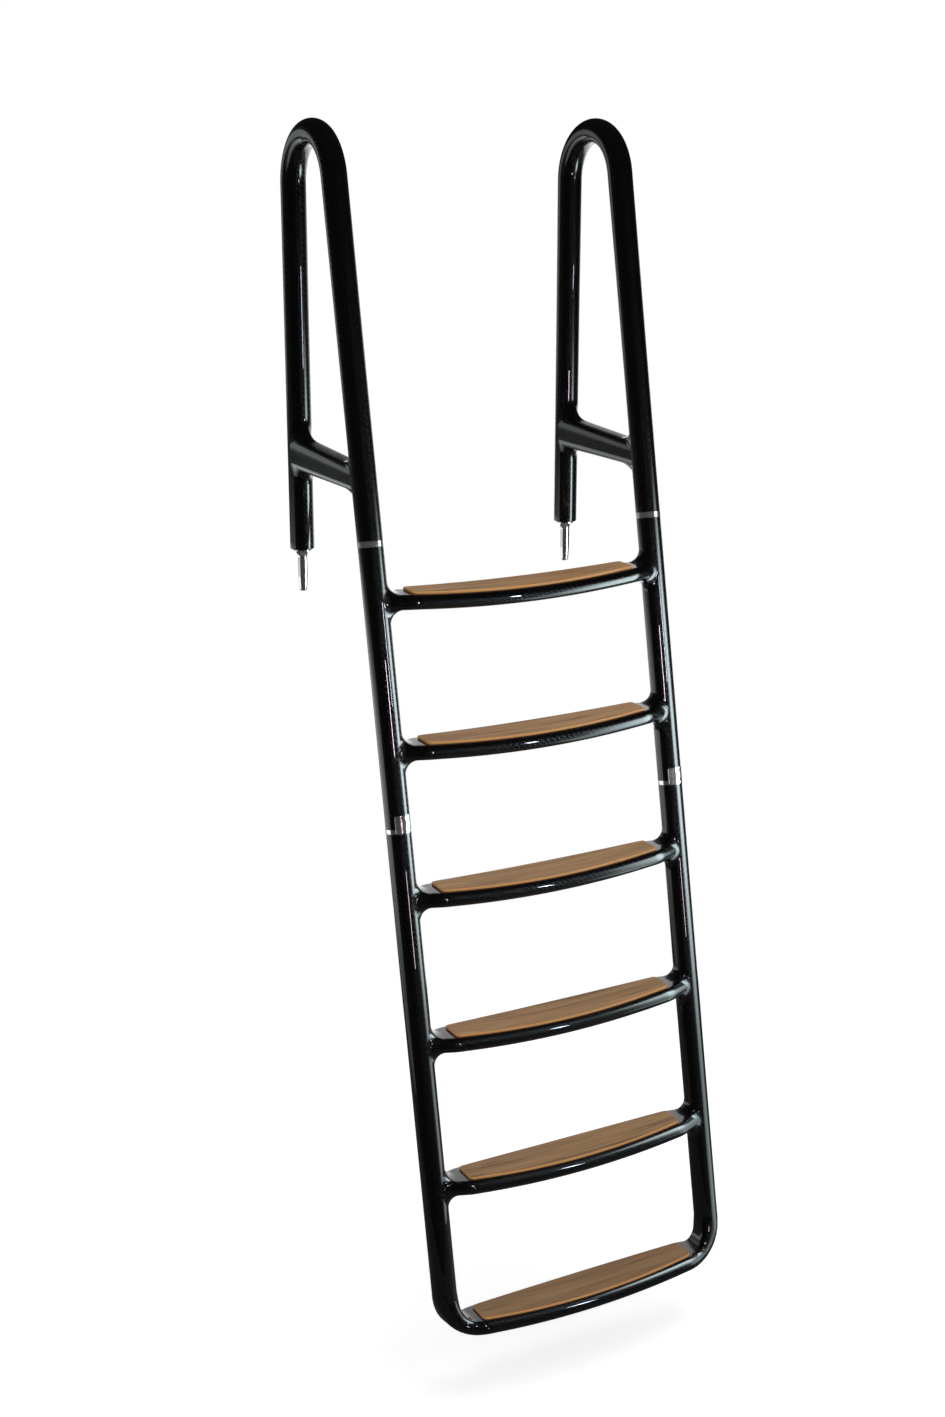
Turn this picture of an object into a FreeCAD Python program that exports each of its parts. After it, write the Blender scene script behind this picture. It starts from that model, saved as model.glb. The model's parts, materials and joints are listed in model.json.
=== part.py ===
import FreeCAD, Part
import math
import os

import Sketcher
from FreeCAD import Placement, Rotation, Vector

# A swim ladder that hangs from two sockets in a deck or a bathing platform.
# Two looped handrails stand on the deck and carry the stainless pins, an upper frame with
# two rungs hangs from them, and a lower frame with four rungs plugs into the upper one.
# The frames are moulded carbon tube, and every rung carries a bowed wooden tread.
# +X runs along the rungs, +Y points inboard and +Z up. The origin lies midway between the
# two deck pins, level with the mouths of the sockets, where the straight parts begin.

doc = FreeCAD.newDocument("SwimLadder")
sheet = doc.addObject("Spreadsheet::Sheet", "Sizes")

DRIVING_SIZES = [
    ("stile_spacing", 500.0, "between the axes of the two stiles and of the two pins"),
    ("tube_diameter", 40.0, "stiles and handrails"),
    ("lean_angle", 11.4, "of the stiles, their feet away from the boat"),
    ("stand_off", 278.9, "pin axis to stile axis at deck height"),
    ("rail_height", 690.5, "deck to the top of the handrail loop"),
    ("bridge_front_level", 167.5, "middle of the bridge at the stile, above the deck"),
    ("bridge_back_level", 174.5, "middle of the bridge at the inboard leg"),
    ("bridge_width", 31.0, "bridge across the loop, side to side"),
    ("bridge_front_depth", 44.0, "bridge top to bottom at the stile"),
    ("bridge_back_depth", 58.0, "bridge top to bottom at the inboard leg"),
    ("bridge_blend", 17.0, "radius between bridge and legs"),
    ("rail_foot_round", 2.0, "rounding of the foot of the inboard leg"),
    ("pin_diameter", 16.0, "straight part of a deck pin"),
    ("pin_length", 56.5, "below the deck plane"),
    ("pin_straight", 32.0, "length of the straight part, from the deck plane down"),
    ("pin_tip_diameter", 13.5, "where the taper ends"),
    ("pin_tip_round", 4.0, "rounding of the tip"),
    ("pin_head_diameter", 30.0, "flange against the handrail foot"),
    ("pin_head_thickness", 2.5, "flange of the pin"),
    ("pin_flare", 12.0, "height of the trumpet above the deck plane"),
    ("upper_joint_level", 70.5, "middle of the handrail joint above the deck"),
    ("ferrule_height", 4.6, "each of the two ferrules in that joint"),
    ("band_proud", 0.6, "how far a steel band stands out of the tube"),
    ("band_chamfer", 0.4, "edges of the steel bands"),
    ("latch_joint_depth", 364.3, "parting plane of the latch joint below the deck"),
    ("collar_height", 5.1, "steel band above the parting plane"),
    ("foot_ring_height", 2.2, "steel band below the parting plane"),
    ("spigot_diameter", 27.0, "plug between the two frames"),
    ("spigot_clearance", 0.05, "radial, in its bores"),
    ("spigot_reach", 90.0, "above the parting plane"),
    ("spigot_root", 55.0, "below the parting plane"),
    ("spigot_chamfer", 3.0, "lead-in at the top of the plug"),
    ("bore_spare", 4.0, "bore deeper than the plug"),
    ("plate_width", 24.6, "latch plate"),
    ("plate_height", 26.0, "latch plate from the parting plane up"),
    ("plate_proud", 2.0, "latch plate over the tube"),
    ("plate_corner", 2.2, "corners of the latch plate"),
    ("plate_rim", 2.6, "raised edge of the latch plate"),
    ("plate_recess", 1.2, "depth inside the raised edge"),
    ("button_width", 11.0, "latch button"),
    ("button_height", 14.0, "latch button"),
    ("button_corner", 2.5, "corners of the latch button"),
    ("button_proud", 2.6, "latch button over the tube"),
    ("button_edge", 0.9, "rounding round the button face"),
    ("button_depth", 2.6, "latch button below the tube surface"),
    ("button_travel", 2.5, "how far it presses in"),
    ("button_clearance", 0.15, "round the button, and behind it when pressed"),
    ("first_tread_depth", 1.1, "top of the first tread below the deck, at its ends"),
    ("tread_pitch", 227.4, "tread to tread"),
    ("upper_rungs", 2, "in the upper frame"),
    ("lower_rungs", 4, "in the lower frame"),
    ("rung_sag", 7.4, "middle of a rung and of its tread below their ends"),
    ("rung_levelling", 400.0, "radius where a sagging rung levels out at its ends"),
    ("tread_thickness", 4.2, "wooden tread on its rung"),
    ("rung_height", 23.8, "moulded rung, top to bottom"),
    ("rung_front_round", 11.8, "long outboard edges"),
    ("rung_back_round", 6.0, "long inboard edges"),
    ("rung_crown", 44.8, "front of a rung from the stile axis, at its middle"),
    ("rung_back", 31.0, "back of a rung from the stile axis, at its middle"),
    ("rung_end_front", 33.0, "front of a rung where it meets its end piece"),
    ("rung_end_back", 23.9, "back of a rung where it meets its end piece"),
    ("rung_turn", 69.0, "radius where front and back turn to the slope of the end piece"),
    ("rung_root", 16.0, "half the width of a tapered end piece at the stile axis"),
    ("end_reach", 42.0, "from the stile axis to where rung and end piece meet"),
    ("rung_blend", 20.0, "radius between end piece and stile"),
    ("tread_length", 395.0, "end to end"),
    ("tread_back", 16.8, "back corners of the tread from the stile axis"),
    ("tread_back_bow", 11.7, "bow of the back edge"),
    ("tread_front", 24.3, "front corners of the tread from the stile axis"),
    ("tread_front_bow", 11.3, "bow of the front edge"),
    ("tread_front_corner", 9.0, "rounding of the front corners"),
    ("tread_back_corner", 5.0, "rounding of the back corners"),
    ("tread_edge", 1.4, "rounding of the top edge"),
    ("corner_rise", 73.0, "height of the outer curve of a bottom corner"),
    ("corner_inner_rise", 25.5, "height of the inner curve of a bottom corner"),
]

for row, (alias, value, note) in enumerate(DRIVING_SIZES, start=1):
    sheet.set("A%d" % row, alias)
    sheet.set("B%d" % row, str(value))
    sheet.set("C%d" % row, note)
    sheet.setAlias("B%d" % row, alias)
doc.recompute()


def size(alias):
    """Value of a driving size."""
    return float(sheet.get(alias))


LEAN = math.radians(size("lean_angle"))
SIN, COS, TAN = math.sin(LEAN), math.cos(LEAN), math.tan(LEAN)
TUBE = size("tube_diameter") / 2
HALF_SPACING = size("stile_spacing") / 2
SIDES = (("left", -1), ("right", 1))
UPRIGHT = Vector(0, 0, 1)
ACROSS = Vector(1, 0, 0)
AXIS = Vector(0, SIN, COS)
NEAR = 0.01
HALF_TURN = math.sqrt(0.5)


def axis_y(level):
    """How far inboard the stile axis lies at a level above the deck."""
    return level * TAN - size("stand_off")


def along(level):
    """Distance along the stile from deck height to a level."""
    return level / COS


def rung_level(number):
    """Level of the middle of a moulded rung at its ends, counted from 1 at the top."""
    tread_top = -size("first_tread_depth") - (number - 1) * size("tread_pitch")
    return tread_top - size("tread_thickness") - size("rung_height") / 2


# Helpers that draw sketches and features inside a body.

def new_body(name, place):
    body = doc.addObject("PartDesign::Body", name.title().replace("_", ""))
    body.Label = name
    body.Placement = place
    return body


def origin_plane(body, role):
    return [item for item in body.Origin.OriginFeatures if item.Role == role][0]


def new_sketch(body, name, role="XY_Plane", offset=Placement()):
    sketch = body.newObject("Sketcher::SketchObject", name)
    sketch.AttachmentSupport = (origin_plane(body, role), [""])
    sketch.MapMode = "FlatFace"
    sketch.AttachmentOffset = offset
    return sketch


def add_ring(sketch, diameter):
    """Adds a circle round the sketch's origin whose diameter is an expression on the sheet."""
    now = size_of(diameter)
    index = sketch.addGeometry(Part.Circle(Vector(), UPRIGHT, now / 2))
    sketch.addConstraint(Sketcher.Constraint("Coincident", index, 3, -1, 1))
    number = sketch.addConstraint(Sketcher.Constraint("Diameter", index, now))
    sketch.setExpression("Constraints[%d]" % number, diameter)


def size_of(expression):
    """Present value of an expression on the sheet."""
    return float(sheet.evalExpression(expression.replace("Sizes.", "")))


def add_path(sketch, pieces):
    """Adds lines and arcs. A piece is a list of two points, or of three for an arc."""
    for piece in pieces:
        points = [Vector(x, y, 0) for x, y in piece]
        if len(points) == 2:
            sketch.addGeometry(Part.LineSegment(*points))
        else:
            sketch.addGeometry(Part.Arc(*points))


def rounded_box(x0, x1, y0, y1, left_round, right_round):
    """Closed outline of a rectangle whose left and right corners have their own radii."""
    pieces = []
    corners = [(x1, y0, -1, 1, right_round), (x1, y1, -1, -1, right_round),
               (x0, y1, 1, -1, left_round), (x0, y0, 1, 1, left_round)]
    start = (x0 + left_round, y0)
    for number, (x, y, to_x, to_y, radius) in enumerate(corners):
        along_x = (x + to_x * radius, y)
        along_y = (x, y + to_y * radius)
        waist = radius * (1 - HALF_TURN)
        middle = (x + to_x * waist, y + to_y * waist)
        first, last = (along_x, along_y) if number in (0, 2) else (along_y, along_x)
        pieces.append([start, first])
        pieces.append([first, middle, last])
        start = last
    return pieces


def pad(body, name, sketch, length, both=False):
    feature = body.newObject("PartDesign::Pad", name)
    feature.Profile = sketch
    feature.setExpression("Length", length)
    feature.Midplane = both
    return feature


def pocket(body, name, sketch, length, reverse=False):
    feature = body.newObject("PartDesign::Pocket", name)
    feature.Profile = sketch
    feature.setExpression("Length", length)
    feature.Reversed = reverse
    return feature


def dress(body, kind, name, base, edges, sized):
    """Fillet or chamfer of the named edges of the feature before it."""
    feature = body.newObject("PartDesign::" + kind, name)
    feature.Base = (base, edges)
    feature.setExpression("Radius" if kind == "Fillet" else "Size", sized)
    return feature


def edges_where(feature, wanted):
    """Names of the edges of a feature whose sample points all pass a test."""
    doc.recompute()
    names = []
    for number, edge in enumerate(feature.Shape.Edges, start=1):
        first, last = edge.FirstParameter, edge.LastParameter
        points = [edge.valueAt(first + (last - first) * share) for share in (0.08, 0.5, 0.92)]
        if wanted(points):
            names.append("Edge%d" % number)
    if not names:
        raise ValueError("no edges found on " + feature.Label)
    return names


def rim_at(feature, height, radius=None):
    """Names of the edges that lie at a height, and on a circle round the axis where one is given."""
    def wanted(points):
        level = all(abs(p.z - height) < NEAR for p in points)
        return level and (radius is None or all(on_tube(p, radius) for p in points))
    return edges_where(feature, wanted)


def on_tube(point, radius):
    """Whether a point lies on a cylinder round the axis."""
    return abs(math.hypot(point.x, point.y) - radius) < NEAR


def stile_frame(side):
    """Placement whose Z runs up a stile and whose origin is level with the deck."""
    return Placement(Vector(side * HALF_SPACING, -size("stand_off"), 0),
                     Rotation(ACROSS, -size("lean_angle")))


def level_frame(level):
    """Placement at a level on the plane of the stile axes, midway between them."""
    return Placement(Vector(0, axis_y(level), level), Rotation())


# Handrails: one closed loop of tube, bridged by a deeper bar that blends into both legs.

def foot_level():
    """Level of the handrail feet, which stand on the flanges of the pins."""
    return size("pin_flare") + size("pin_head_thickness")


def loop_radius():
    """Radius of the hoop that touches both leg axes at the stated height."""
    apex = size("rail_height") - TUBE
    return (size("stand_off") * COS - apex * SIN) / (1 + COS - SIN)


def make_handrail(name, side):
    body = new_body(name, Placement(Vector(side * HALF_SPACING, 0, 0), Rotation()))
    radius = loop_radius()
    centre_y = -radius
    centre_z = size("rail_height") - TUBE - radius
    start_level = size("upper_joint_level") + size("ferrule_height") * COS
    start = (axis_y(start_level), start_level)
    leave = (centre_y - radius * COS, centre_z + radius * SIN)
    middle = (math.pi - LEAN) / 2
    top = (centre_y + radius * math.cos(middle), centre_z + radius * math.sin(middle))
    spine = new_sketch(body, name + "_line", "YZ_Plane")
    foot = (0, foot_level())
    add_path(spine, [[start, leave], [leave, top, (0, centre_z)], [(0, centre_z), foot]])
    section = new_sketch(body, name + "_section", "XY_Plane",
                         Placement(Vector(0, *start), Rotation(ACROSS, -size("lean_angle"))))
    add_ring(section, "Sizes.tube_diameter")
    tube = body.newObject("PartDesign::AdditivePipe", name + "_tube")
    tube.Profile = section
    tube.Spine = (spine, ["Edge1", "Edge2", "Edge3"])
    tube.Mode = "Standard"
    front = bridge_section(body, name, "front", axis_y(size("bridge_front_level")))
    back = bridge_section(body, name, "back", 0)
    bridge = body.newObject("PartDesign::AdditiveLoft", name + "_bridge")
    bridge.Profile = front
    bridge.Sections = [back]
    doc.recompute()
    reach = max(size("bridge_front_depth"), size("bridge_back_depth"))
    middle_level = (size("bridge_front_level") + size("bridge_back_level")) / 2

    def on_a_leg(points):
        """Edges where the bridge meets a leg. Seen in the handrail's own frame."""
        stile_foot = Vector(0, -size("stand_off"), 0)
        for point in points:
            if abs(point.z - middle_level) > reach:
                return False
            from_stile = (point - stile_foot).cross(AXIS).Length
            from_leg = math.hypot(point.x, point.y)
            if min(abs(from_stile - TUBE), abs(from_leg - TUBE)) > NEAR:
                return False
        straight = (points[0] - points[2]).Length > reach
        return not straight

    blended = dress(body, "Fillet", name + "_blend", bridge, edges_where(bridge, on_a_leg),
                    "Sizes.bridge_blend")
    dress(body, "Fillet", name + "_foot", blended, rim_at(blended, foot_level(), TUBE),
          "Sizes.rail_foot_round")
    return body


def bridge_section(body, name, word, place):
    """Elliptical section of the bridge at its front or its back end, at a place along Y."""
    level = size("bridge_%s_level" % word)
    sketch = new_sketch(body, "%s_bridge_%s" % (name, word), "XZ_Plane",
                        Placement(Vector(0, level, -place), Rotation()))
    upper = Vector(0, size("bridge_%s_depth" % word) / 2, 0)
    beside = Vector(size("bridge_width") / 2, 0, 0)
    sketch.addGeometry(Part.Ellipse(upper, beside, Vector()))
    return sketch


# Deck pins: turned stainless, a flange under the tube, a trumpet, a straight part and a taper.

def make_deck_pin(name, side):
    body = new_body(name, Placement(Vector(side * HALF_SPACING, 0, 0), Rotation()))
    head = size("pin_head_diameter") / 2
    shank = size("pin_diameter") / 2
    tip = size("pin_tip_diameter") / 2
    under_head = size("pin_flare")
    below_straight = -size("pin_straight")
    tip_round = size("pin_tip_round")
    end = -size("pin_length")
    flare_radius = (under_head ** 2 + (head - shank) ** 2) / (2 * (head - shank))
    half_sweep = math.atan2(head - shank, under_head)
    flare = (shank + flare_radius * (1 - math.cos(half_sweep)), flare_radius * math.sin(half_sweep))
    top = foot_level()
    outline = [
        [(0, top), (head, top)],
        [(head, top), (head, under_head)],
        [(head, under_head), flare, (shank, 0)],
        [(shank, 0), (shank, below_straight)],
        [(shank, below_straight), (tip, end + tip_round)],
        [(tip, end + tip_round),
         (tip - tip_round * (1 - HALF_TURN), end + tip_round * (1 - HALF_TURN)),
         (tip - tip_round, end)],
        [(tip - tip_round, end), (0, end)],
        [(0, end), (0, top)],
    ]
    sketch = new_sketch(body, name + "_outline", "XZ_Plane")
    add_path(sketch, outline)
    turned = body.newObject("PartDesign::Revolution", name + "_turned")
    turned.Profile = sketch
    turned.ReferenceAxis = (sketch, ["V_Axis"])
    turned.Angle = 360
    return body


# Steel bands: each one is a short ring round the joint of two tubes.

BAND = "Sizes.tube_diameter + 2 * Sizes.band_proud"
BORE = "Sizes.spigot_diameter + 2 * Sizes.spigot_clearance"


def make_band(name, side, bottom, height, bored):
    """A band whose bottom lies at a distance along the stile."""
    body = new_body(name, stile_frame(side))
    sketch = new_sketch(body, name + "_ring", "XY_Plane", Placement(Vector(0, 0, bottom), Rotation()))
    add_ring(sketch, BAND)
    if bored:
        add_ring(sketch, BORE)
    ring = pad(body, name + "_band", sketch, height)
    outer = size_of(BAND) / 2
    rims = rim_at(ring, bottom, outer) + rim_at(ring, bottom + size_of(height), outer)
    dress(body, "Chamfer", name + "_edges", ring, rims, "Sizes.band_chamfer")
    return body


# Stiles: straight tube with a short moulded end for each rung, blended into the tube.

def add_rung_end(body, name, side, level):
    """A tapered rung end from the stile axis to the plane where the rung starts."""
    half = size("rung_height") / 2
    root = size("rung_root")
    ends = (("wide", -side * size("end_reach"), size("rung_end_front"), size("rung_end_back")),
            ("root", 0, root, root))
    sections = []
    for word, place, front, back in ends:
        sketch = new_sketch(body, "%s_%s" % (name, word), "YZ_Plane",
                            Placement(Vector(0, along(level), place),
                                      Rotation(UPRIGHT, size("lean_angle"))))
        add_path(sketch, rounded_box(-front, back, -half, half,
                                     size("rung_front_round"), size("rung_back_round")))
        sections.append(sketch)
    taper = body.newObject("PartDesign::AdditiveLoft", name + "_taper")
    taper.Profile = sections[0]
    taper.Sections = sections[1:]
    taper.Ruled = True
    return taper


def make_stile(name, side, bottom, length, rungs, bore_from_top, bore_depth, latch_at=None):
    """A stile from a distance along its axis up, with the ends of its rungs."""
    body = new_body(name, stile_frame(side))
    turned = Rotation(UPRIGHT, 180 if side < 0 else 0)
    circle = new_sketch(body, name + "_circle", "XY_Plane", Placement(Vector(0, 0, bottom), turned))
    add_ring(circle, "Sizes.tube_diameter")
    feature = pad(body, name + "_tube", circle, length)
    top = bottom + size_of(length)
    for number in rungs:
        feature = add_rung_end(body, "%s_end_%d" % (name, number), side, rung_level(number))
    places = [along(rung_level(number)) for number in rungs]

    def round_an_end(points):
        """Edges where a rung end comes out of the tube."""
        for point in points:
            if not on_tube(point, TUBE) or point.x * side > 0:
                return False
            if min(abs(point.z - place) for place in places) > size("rung_height"):
                return False
        return True

    dress(body, "Fillet", name + "_blend", feature, edges_where(feature, round_an_end),
          "Sizes.rung_blend")
    start = top if bore_from_top else bottom
    hole = new_sketch(body, name + "_bore", "XY_Plane", Placement(Vector(0, 0, start), Rotation()))
    add_ring(hole, BORE)
    pocket(body, name + "_bored", hole, bore_depth, reverse=not bore_from_top)
    if latch_at is not None:
        well = new_sketch(body, name + "_well", "XZ_Plane",
                          Placement(Vector(0, latch_at, TUBE + size("button_travel")), Rotation()))
        add_path(well, button_outline(size("button_clearance")))
        pocket(body, name + "_button_well", well,
               "Sizes.button_depth + Sizes.button_travel * 2 + Sizes.button_clearance")
    return body


# Rungs: a bar with a full round front that bows outboard and hangs a little in the middle.
# The tread has the same hang and lies on the bar.

def rung_end():
    """Distance from the middle of a rung to the plane where its end piece starts."""
    return HALF_SPACING - size("end_reach")


def sag_joint():
    """Radius of the hanging part of the line that rungs and treads follow, and its half width.

    Beyond it the line levels out on an arc of its own, which ends level at the rung's end."""
    turn = 2 * math.atan2(size("rung_sag"), rung_end())
    radius = rung_end() / math.sin(turn) - size("rung_levelling")
    return radius, radius * math.sin(turn)


def sag_height(x):
    """Height of that line above the level of the rung ends."""
    radius, joint = sag_joint()
    if abs(x) < joint:
        return radius - math.sqrt(radius ** 2 - x ** 2) - size("rung_sag")
    if abs(x) > rung_end():
        return 0
    levelling = size("rung_levelling")
    return math.sqrt(levelling ** 2 - (rung_end() - abs(x)) ** 2) - levelling


def side_outline(low, high):
    """Front view of a rung or a tread between two heights over the line that it follows."""
    end = rung_end()
    spare = end + size("rung_root")
    joint = sag_joint()[1]
    half_way = (joint + end) / 2
    outline = [[(way * spare, low), (way * spare, high)] for way in (1, -1)]
    for shift in (low, high):
        outline.append([(x, sag_height(x) + shift) for x in (-joint, 0, joint)])
        for way in (1, -1):
            outline.append([(way * x, sag_height(x) + shift) for x in (joint, half_way, end)])
            outline.append([(way * x, shift) for x in (end, spare)])
    return outline


def add_hanging_bar(body, name, low, high, plan):
    """A solid between two heights over the line of the rungs, cut to a plan."""
    side_view = new_sketch(body, name + "_side_view", "XZ_Plane")
    add_path(side_view, side_outline(low, high))
    pad(body, name + "_bar", side_view, "Sizes.rung_crown * 3", both=True)
    around = new_sketch(body, name + "_plan")
    add_path(around, plan)
    depth = size("rung_crown") * 2
    corners = [(HALF_SPACING, -depth), (HALF_SPACING, depth),
               (-HALF_SPACING, depth), (-HALF_SPACING, -depth)]
    add_path(around, [[corners[number - 1], corners[number]] for number in range(4)])
    cut = pocket(body, name + "_trimmed", around, "Sizes.rung_height * 4")
    cut.Midplane = True
    return cut


def bowed_edge(crown, end_depth):
    """Half of a long edge in plan, as depths from the stile axis: a bow, then a turn.

    The turn ends with the slope of the tapered end piece that the edge runs into."""
    end = rung_end()
    turn = size("rung_turn")
    slope = math.atan2(end_depth - size("rung_root"), size("end_reach"))
    run = end - turn * math.sin(slope)
    fall = crown - end_depth - turn * (1 - math.cos(slope))
    angle = 2 * math.atan2(fall, run)
    bow = run / math.sin(angle) + turn
    joint = (bow * math.sin(angle), crown - bow * (1 - math.cos(angle)))
    half_way = (slope + angle) / 2
    middle = (joint[0] + turn * (math.sin(half_way) - math.sin(angle)),
              joint[1] - turn * (math.cos(angle) - math.cos(half_way)))
    last = (joint[0] + turn * (math.sin(slope) - math.sin(angle)),
            joint[1] - turn * (math.cos(angle) - math.cos(slope)))
    return joint, middle, last


def rung_outline():
    """Plan of a rung between its two end pieces, about the plane of the stile axes."""
    outline = []
    ends = []
    for way, crown, depth in ((-1, size("rung_crown"), size("rung_end_front")),
                              (1, size("rung_back"), size("rung_end_back"))):
        joint, middle, last = bowed_edge(crown, depth)
        outline.append([(-joint[0], way * joint[1]), (0, way * crown), (joint[0], way * joint[1])])
        for side in (1, -1):
            outline.append([(side * x, way * y) for x, y in (joint, middle, last)])
        ends.append((last[0], way * last[1]))
    return outline + [[(side * x, y) for x, y in ends] for side in (1, -1)]


def tread_outline():
    """Plan of a tread: square ends and bowed long edges, before its corners are rounded."""
    half = size("tread_length") / 2
    back = size("tread_back")
    front = -size("tread_front")
    return [[(-half, back), (0, back + size("tread_back_bow")), (half, back)],
            [(half, back), (half, front)],
            [(half, front), (0, front - size("tread_front_bow")), (-half, front)],
            [(-half, front), (-half, back)]]


def make_rung(name, number):
    body = new_body(name, level_frame(rung_level(number)))
    half = size("rung_height") / 2
    bar = add_hanging_bar(body, name, -half, half, rung_outline())

    def long_edge(front):
        def wanted(points):
            level = all(abs(abs(p.z - sag_height(p.x)) - half) < NEAR for p in points)
            inside = any(abs(p.x) < rung_end() - NEAR for p in points)
            return level and inside and (points[1].y < 0) == front
        return wanted

    fronts = dress(body, "Fillet", name + "_front", bar, edges_where(bar, long_edge(True)),
                   "Sizes.rung_front_round")
    dress(body, "Fillet", name + "_back", fronts, edges_where(fronts, long_edge(False)),
          "Sizes.rung_back_round")
    return body


def make_tread(name, number):
    bottom = size("rung_height") / 2
    top = bottom + size("tread_thickness")
    half_length = size("tread_length") / 2
    body = new_body(name, level_frame(rung_level(number)))
    board = add_hanging_bar(body, name, bottom, top, tread_outline())
    for word, corner_y in (("front", -size("tread_front")), ("back", size("tread_back"))):

        def upright(points):
            return all(abs(abs(p.x) - half_length) < NEAR and abs(p.y - corner_y) < NEAR
                       for p in points)

        board = dress(body, "Fillet", "%s_%s" % (name, word), board, edges_where(board, upright),
                      "Sizes.tread_%s_corner" % word)
    rim = edges_where(board, lambda points: all(abs(p.z - sag_height(p.x) - top) < NEAR
                                                for p in points))
    dress(body, "Fillet", name + "_edge", board, rim, "Sizes.tread_edge")
    return body


# Latch: a steel collar with a raised plate in front, and a button that presses through it.

def button_outline(margin):
    half_width = size("button_width") / 2 + margin
    half_height = size("button_height") / 2 + margin
    corner = size("button_corner") + margin
    return rounded_box(-half_width, half_width, -half_height, half_height, corner, corner)


def sector(inner, outer, half_width):
    """Plan of a curved plate in front of the tube, between two radii."""
    inner_y = -math.sqrt(inner ** 2 - half_width ** 2)
    outer_y = -math.sqrt(outer ** 2 - half_width ** 2)
    return [[(-half_width, inner_y), (0, -inner), (half_width, inner_y)],
            [(half_width, inner_y), (half_width, outer_y)],
            [(half_width, outer_y), (0, -outer), (-half_width, outer_y)],
            [(-half_width, outer_y), (-half_width, inner_y)]]


def latch_middle():
    """Distance along the stile to the middle of the latch plate."""
    return along(-size("latch_joint_depth")) + size("plate_height") / 2


def make_collar(name, side):
    bottom = along(-size("latch_joint_depth"))
    body = new_body(name, stile_frame(side))
    ring_plan = new_sketch(body, name + "_ring", "XY_Plane", Placement(Vector(0, 0, bottom), Rotation()))
    add_ring(ring_plan, BAND)
    add_ring(ring_plan, BORE)
    pad(body, name + "_band", ring_plan, "Sizes.collar_height")
    outer = TUBE + size("plate_proud")
    plate_plan = new_sketch(body, name + "_plate_plan", "XY_Plane",
                            Placement(Vector(0, 0, bottom), Rotation()))
    add_path(plate_plan, sector(TUBE, outer, size("plate_width") / 2))
    plate = pad(body, name + "_plate", plate_plan, "Sizes.plate_height")
    half_width = size("plate_width") / 2
    top = bottom + size("plate_height")

    def plate_corner(points):
        at_side = all(abs(abs(p.x) - half_width) < NEAR for p in points)
        return at_side and all(abs(p.z - top) < NEAR for p in points)

    rounded = dress(body, "Fillet", name + "_corners", plate, edges_where(plate, plate_corner),
                    "Sizes.plate_corner")
    rim = size("plate_rim")
    recess_plan = new_sketch(body, name + "_recess_plan", "XY_Plane",
                             Placement(Vector(0, 0, bottom + rim), Rotation()))
    add_path(recess_plan, sector(outer - size("plate_recess"), outer + rim, half_width - rim))
    pocket(body, name + "_recess", recess_plan, "Sizes.plate_height - 2 * Sizes.plate_rim", reverse=True)
    window = new_sketch(body, name + "_window", "XZ_Plane",
                        Placement(Vector(0, latch_middle(), 0), Rotation()))
    add_path(window, button_outline(size("button_clearance")))
    pocket(body, name + "_opening", window, "Sizes.tube_diameter", reverse=True)
    return body


def make_button(name, side):
    body = new_body(name, stile_frame(side))
    inner = TUBE - size("button_depth")
    face = TUBE + size("button_proud")
    plan = new_sketch(body, name + "_plan", "XZ_Plane",
                      Placement(Vector(0, latch_middle(), inner), Rotation()))
    add_path(plan, button_outline(0))
    block = pad(body, name + "_block", plan, "Sizes.button_depth + 2 * Sizes.button_proud")
    cut_plan = new_sketch(body, name + "_face_plan", "XY_Plane",
                          Placement(Vector(0, 0, latch_middle() - size("button_height")), Rotation()))
    add_path(cut_plan, sector(face, face + size("button_width"), size("button_width")))
    cut = pocket(body, name + "_face", cut_plan, "Sizes.button_height * 2", reverse=True)
    rim = edges_where(cut, lambda points: all(on_tube(point, face) for point in points))
    dress(body, "Fillet", name + "_edge", cut, rim, "Sizes.button_edge")
    return body


def make_spigot(name, side):
    parting = along(-size("latch_joint_depth"))
    body = new_body(name, stile_frame(side))
    circle = new_sketch(body, name + "_circle", "XY_Plane",
                        Placement(Vector(0, 0, parting - size("spigot_root")), Rotation()))
    add_ring(circle, "Sizes.spigot_diameter")
    rod = pad(body, name + "_rod", circle, "Sizes.spigot_root + Sizes.spigot_reach")
    dress(body, "Chamfer", name + "_lead", rod, rim_at(rod, parting + size("spigot_reach")),
          "Sizes.spigot_chamfer")
    return body


# Bottom corners: the tube bends inwards and flattens to the section of the last rung.
# The inner line bends over the first part of the corner and is straight in the rest.

CORNER_STEPS = 5
INNER_BEND_SHARE = 0.7
ROUND_SPARE = 0.05


def corner_section(share):
    """Frame and half sizes of the section at a share of the bend, 0 at the rung.

    The outer line is a quarter ellipse, the inner line a smaller one and a straight."""
    half = size("rung_height") / 2
    reach = size("end_reach")
    angle = share * math.pi / 2
    lift = size("corner_rise")
    outer_x = reach - (reach + TUBE) * math.sin(angle)
    outer_z = -half + lift * (1 - math.cos(angle))
    inner_rise = size("corner_inner_rise")
    inner_angle = min(1.0, share / INNER_BEND_SHARE) * math.pi / 2
    straight = max(0.0, share - INNER_BEND_SHARE) / (1 - INNER_BEND_SHARE)
    inner_x = reach - (reach - TUBE) * math.sin(inner_angle)
    inner_z = half + inner_rise * (1 - math.cos(inner_angle))
    inner_z += (lift - half * 2 - inner_rise) * straight
    return Vector(outer_x, 0, outer_z), Vector(inner_x, 0, inner_z)


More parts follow.
